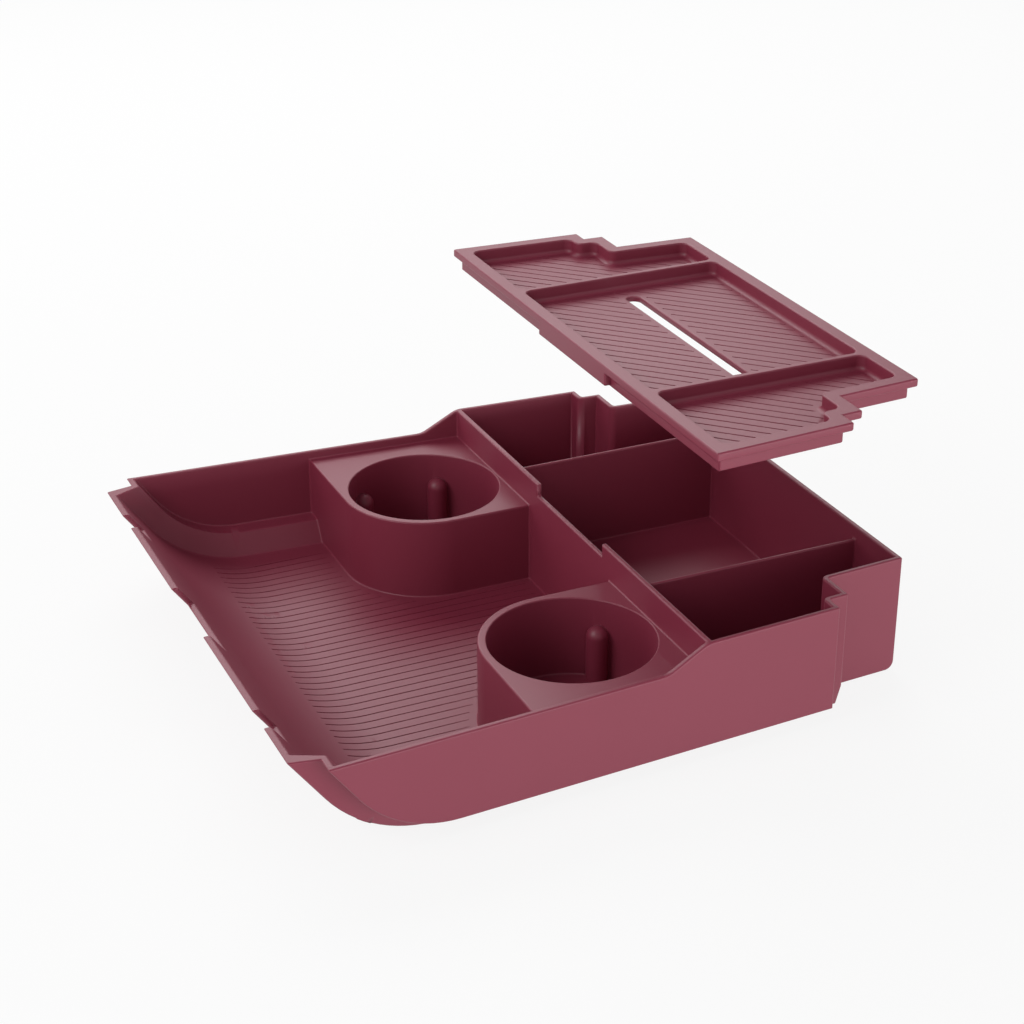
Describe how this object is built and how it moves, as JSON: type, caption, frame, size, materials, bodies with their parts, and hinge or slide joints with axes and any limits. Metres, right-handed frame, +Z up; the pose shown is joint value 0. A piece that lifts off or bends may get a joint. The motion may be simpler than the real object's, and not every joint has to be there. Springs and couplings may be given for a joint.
{
  "type": "center console organizer tray",
  "caption": "Open console tray with a scooped front bin, round cup wells and rear compartments, and a shallow pocketed upper tray lifted above them.",
  "frame": {"origin": "middle of the tray's length and width, on the plane of its underside", "axes": "+X from the scooped front lip to the rear wall, +Y to the far side, +Z up out of the tray"},
  "size_m": [0.35, 0.3352, 0.167],
  "materials": {
    "tray": "matte moulded, wine red"
  },
  "bodies": {
    "root": {"base_tray": "tray", "upper_tray": "tray"}
  },
  "joints": []
}
